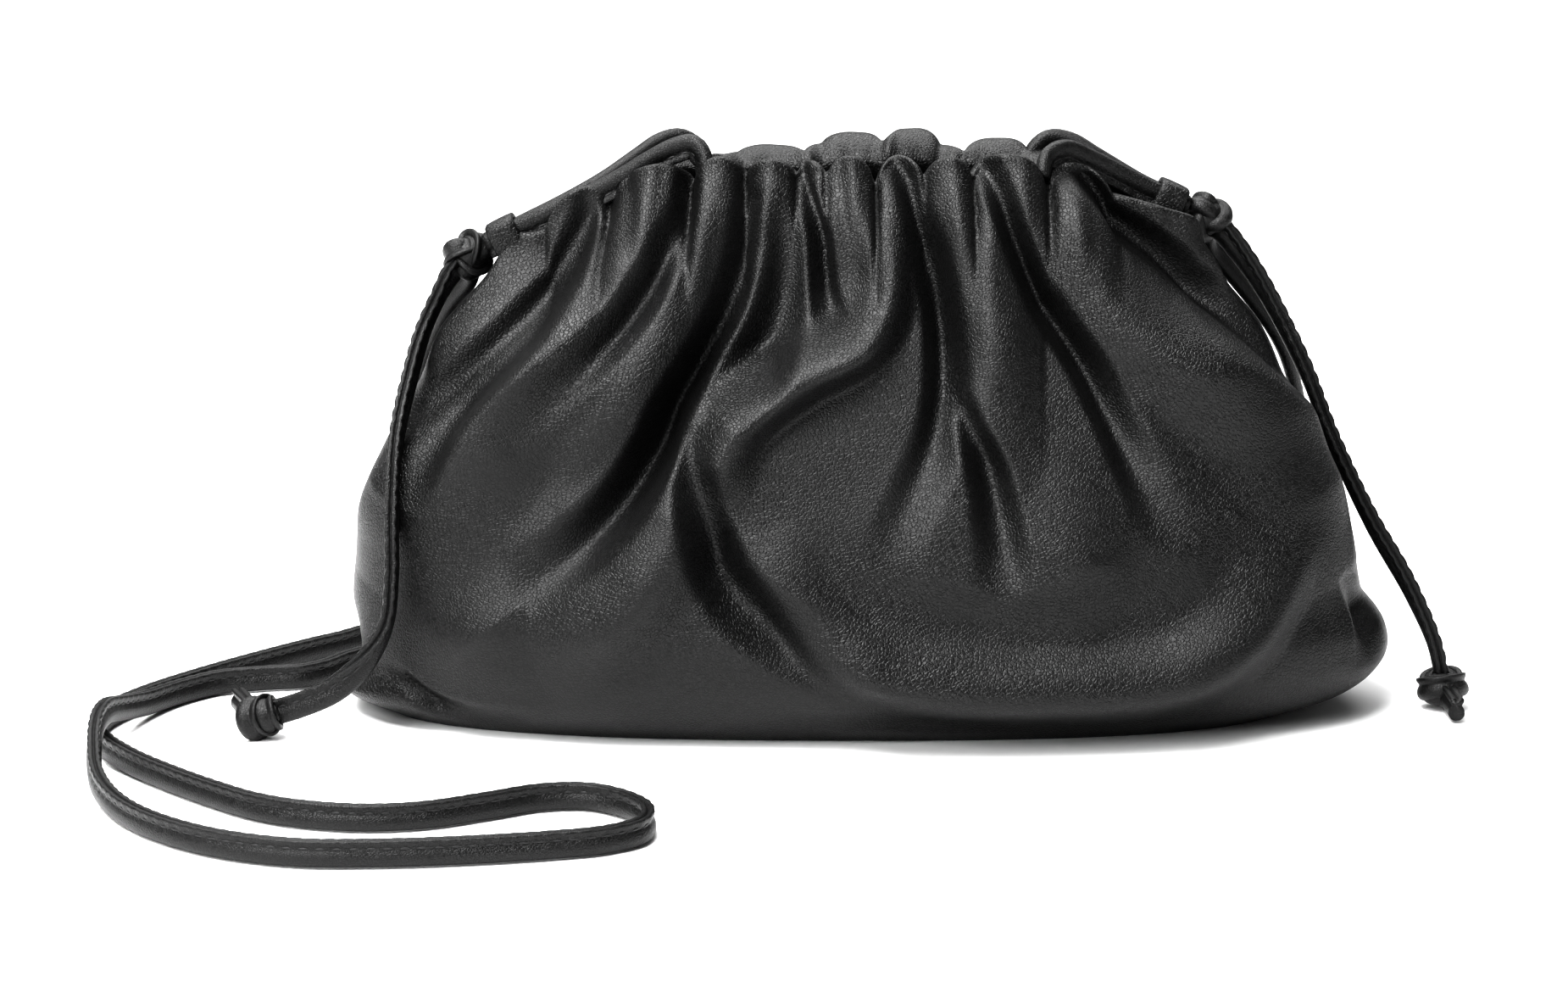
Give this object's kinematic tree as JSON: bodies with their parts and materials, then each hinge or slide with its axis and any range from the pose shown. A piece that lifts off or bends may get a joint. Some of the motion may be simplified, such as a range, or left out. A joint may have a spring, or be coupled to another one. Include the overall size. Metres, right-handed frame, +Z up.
{
  "type": "drawstring pouch bag",
  "caption": "Soft black leather pouch bag with a gathered drawstring mouth, leather keepers, knotted ties and a long thin shoulder strap.",
  "frame": {"origin": "centre of the pouch's footprint, at the surface it stands on", "axes": "+X along the width to the right seen from the front, -Y out of the front, +Z up"},
  "size_m": [0.3591, 0.2152, 0.1527],
  "materials": {
    "panel_leather": "soft black nappa with a fine pebble grain and a low sheen",
    "cord_leather": "folded and stitched black leather strip with a low sheen"
  },
  "bodies": {
    "root": {"front_panel": "panel_leather", "back_panel": "panel_leather", "keeper_left": "panel_leather", "keeper_right": "panel_leather", "drawcord_left_front": "cord_leather", "drawcord_left_back": "cord_leather", "drawcord_right_front": "cord_leather", "drawcord_right_back": "cord_leather", "knot_left": "cord_leather", "knot_right": "cord_leather", "tie_left": "cord_leather", "tie_right": "cord_leather", "end_knot_left": "cord_leather", "end_knot_right": "cord_leather", "strap": "cord_leather"}
  },
  "joints": []
}
